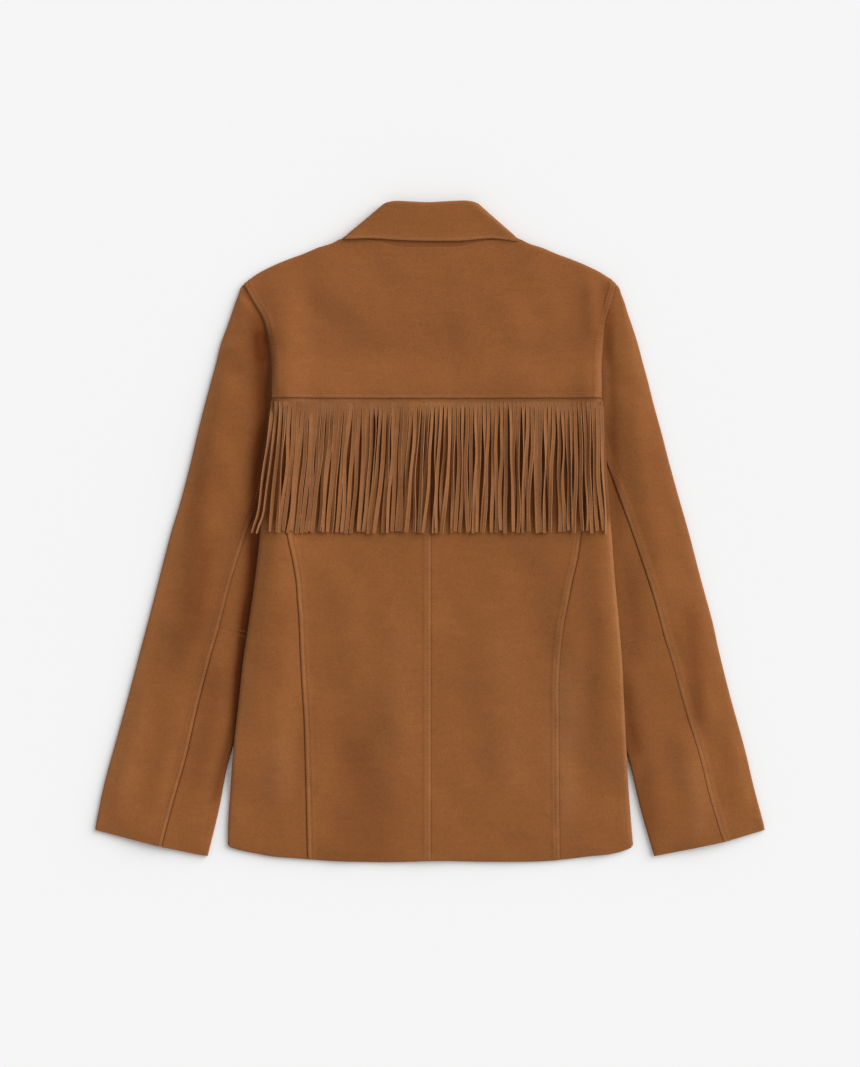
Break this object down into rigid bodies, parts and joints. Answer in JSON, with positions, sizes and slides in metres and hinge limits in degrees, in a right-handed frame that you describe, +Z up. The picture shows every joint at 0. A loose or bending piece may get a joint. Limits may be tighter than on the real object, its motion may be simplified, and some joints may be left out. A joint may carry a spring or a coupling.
{
  "type": "fringed suede jacket laid flat",
  "caption": "Women's fringed suede jacket lying flat with its back up: folded shirt collar, lapped back yoke with a row of fringe, shaped back seams and two-piece sleeves.",
  "frame": {"origin": "middle of the jacket's outline, on the surface that it lies on", "axes": "+X to the right as the back is seen from above, +Y from the hem towards the neck, +Z up, out of the back"},
  "size_m": [0.7124, 0.7, 0.017],
  "materials": {
    "suede": "brushed suede",
    "fringe_suede": "brushed suede, cut edges",
    "thread": "twisted sewing thread"
  },
  "bodies": {
    "root": {"back_yoke": "suede", "fringe": "fringe_suede", "back_centre_left": "suede", "back_centre_right": "suede", "back_side_left": "suede", "back_side_right": "suede", "front_left": "suede", "front_right": "suede", "sleeve_top_left": "suede", "sleeve_top_right": "suede", "sleeve_under_upper_left": "suede", "sleeve_under_upper_right": "suede", "sleeve_under_lower_left": "suede", "sleeve_under_lower_right": "suede", "collar_fall": "suede", "collar_stand": "suede"}
  },
  "joints": []
}
